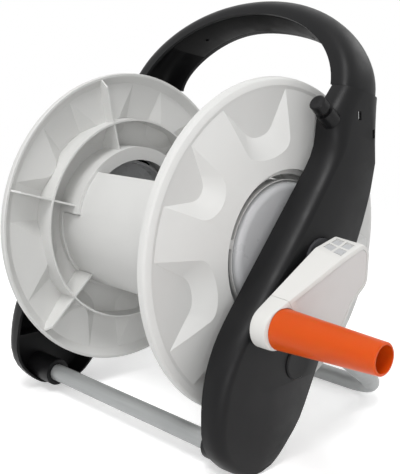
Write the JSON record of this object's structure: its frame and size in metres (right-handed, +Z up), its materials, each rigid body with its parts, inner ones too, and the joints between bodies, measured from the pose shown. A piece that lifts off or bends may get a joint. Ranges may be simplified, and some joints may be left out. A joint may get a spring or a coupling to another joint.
{
  "type": "hose reel",
  "caption": "Portable garden hose reel with a crank, held between two black side frames with a carry handle on top and a bent tube stand behind.",
  "frame": {"origin": "on the floor, below the middle of the object's bounding box", "axes": "+X along the axle towards the crank, -Y towards the front, +Z up"},
  "size_m": [0.4944, 0.3198, 0.4195],
  "materials": {
    "black_plastic": "satin moulded",
    "soft_black_plastic": "matte grained",
    "rubber": "matte",
    "pale_grey_plastic": "satin moulded",
    "silver_plastic": "fine metallic",
    "white_plastic": "satin moulded",
    "panel_grey_plastic": "fine grained",
    "orange_plastic": "satin moulded",
    "painted_steel": "satin grey paint",
    "steel": "plain",
    "dark_plastic": "satin moulded"
  },
  "bodies": {
    "frame": {"right_side_frame": "black_plastic", "left_side_frame": "black_plastic", "right_axle_bush": "dark_plastic", "left_axle_bush": "dark_plastic", "right_stand_boss_cap": "black_plastic", "left_stand_boss_cap": "black_plastic", "right_foot_pad": "rubber", "left_foot_pad": "rubber", "carry_handle_shell": "black_plastic", "carry_handle_cover": "soft_black_plastic", "front_tube": "painted_steel", "rear_stand_tube": "painted_steel", "hose_parking_peg": "black_plastic"},
    "reel": {"right_flange": "pale_grey_plastic", "left_flange": "pale_grey_plastic", "right_hub_cover": "silver_plastic", "left_hub_cover": "silver_plastic", "drum_front_shell": "pale_grey_plastic", "drum_rear_shell": "pale_grey_plastic", "crank_shaft": "dark_plastic", "crank_arm": "white_plastic", "crank_end_cap": "white_plastic", "crank_face_panel": "panel_grey_plastic", "crank_screw": "steel", "grip_pin": "steel", "reel_spindle": "dark_plastic", "hose_outlet": "dark_plastic", "outlet_nut": "dark_plastic"},
    "grip": {"grip_sleeve": "orange_plastic"},
    "inlet": {"inlet_elbow": "dark_plastic", "inlet_seal": "rubber", "inlet_connector": "dark_plastic"}
  },
  "joints": [
    {"name": "reel_spin", "type": "hinge", "parent": "frame", "child": "reel", "pos_m": [-0.04265, 0, 0.185], "axis": [1, 0, 0], "continuous": true},
    {"name": "grip_spin", "type": "hinge", "parent": "reel", "child": "grip", "pos_m": [0.15735, -0.077, 0.142], "axis": [1, 0, 0], "continuous": true},
    {"name": "inlet_swivel", "type": "hinge", "parent": "frame", "child": "inlet", "pos_m": [-0.23265, 0, 0.185], "axis": [1, 0, 0], "continuous": true}
  ]
}
